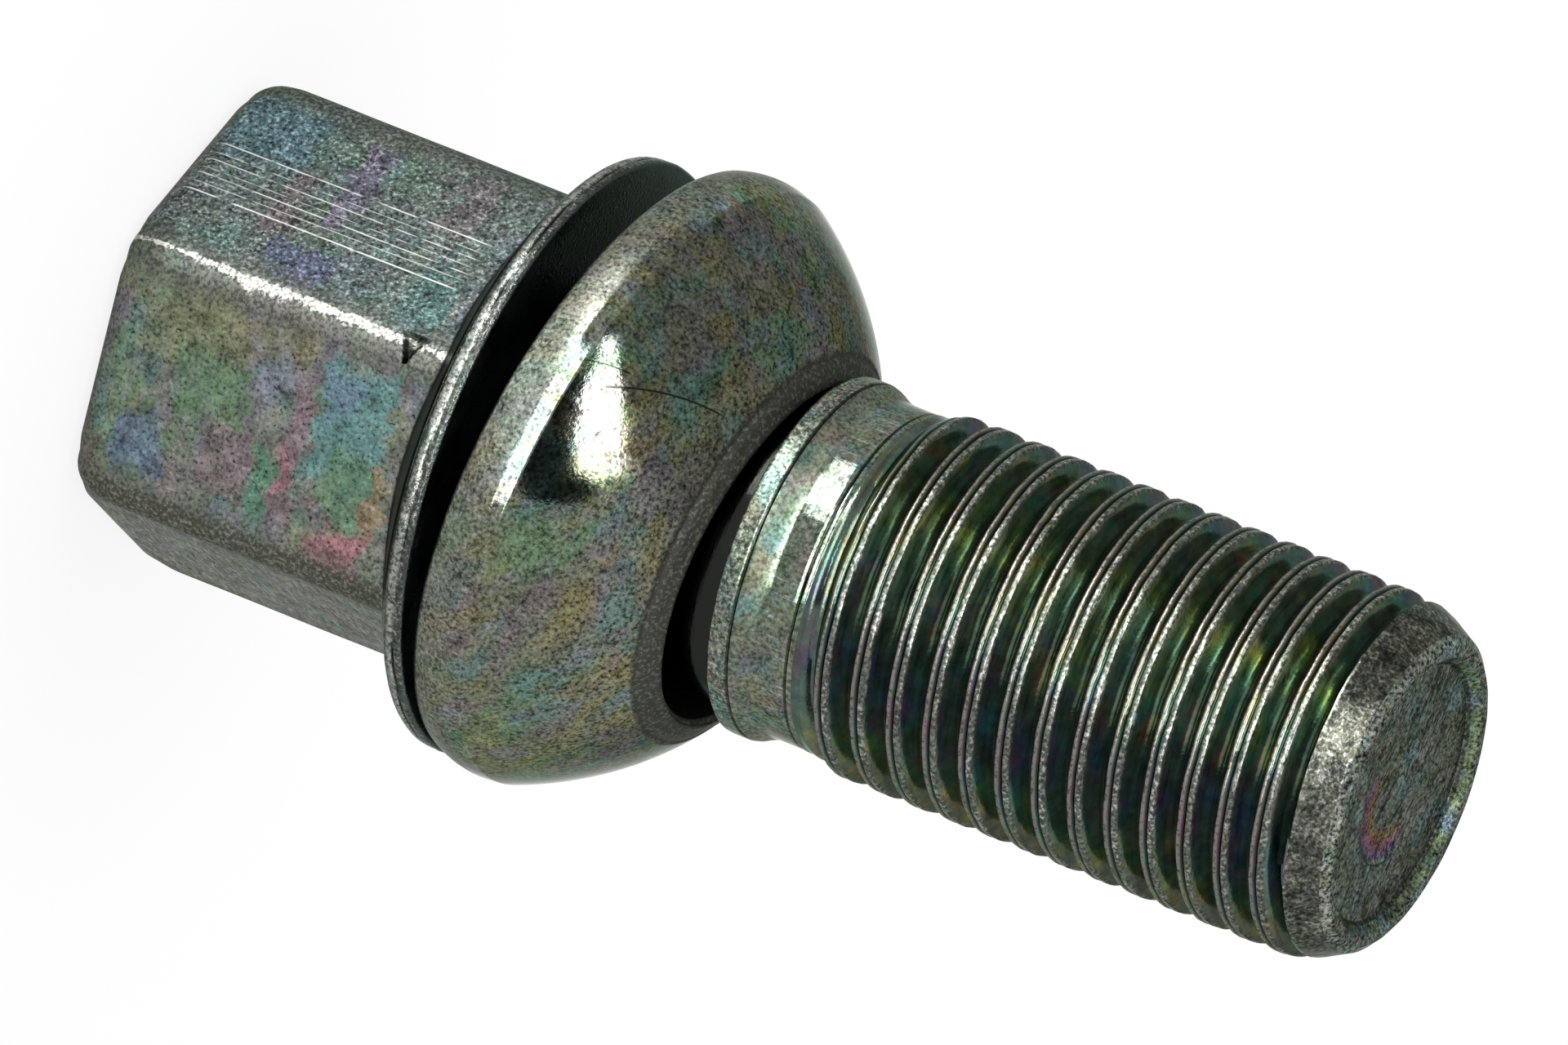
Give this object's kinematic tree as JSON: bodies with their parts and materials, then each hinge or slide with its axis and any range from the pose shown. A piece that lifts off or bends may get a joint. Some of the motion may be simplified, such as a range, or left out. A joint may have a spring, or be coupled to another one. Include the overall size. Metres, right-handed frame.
{
  "type": "wheel bolt",
  "caption": "Wheel bolt with a hexagon head and flange, a loose captive ball-seat collar on its neck and a metric thread with a cupped end, for fastening a road wheel to its hub.",
  "frame": {"origin": "centre of the head's end face, on which the bolt stands", "axes": "+Z along the bolt's axis from the head towards the thread's tip, +X across a pair of hexagon flats, +Y through a pair of hexagon corners"},
  "size_m": [0.0241, 0.0243, 0.0507],
  "materials": {
    "bolt_zinc": "zinc plated with an iridescent passivation, slightly worn",
    "collar_zinc": "zinc plated with an iridescent passivation, fine pits"
  },
  "bodies": {
    "bolt": {"bolt": "bolt_zinc"},
    "seat_collar": {"seat_collar": "collar_zinc"}
  },
  "joints": [
    {"name": "collar_spin", "type": "hinge", "parent": "bolt", "child": "seat_collar", "pos_m": [0, 0, 0.02068], "axis": [0, 0, 1], "continuous": true}
  ]
}
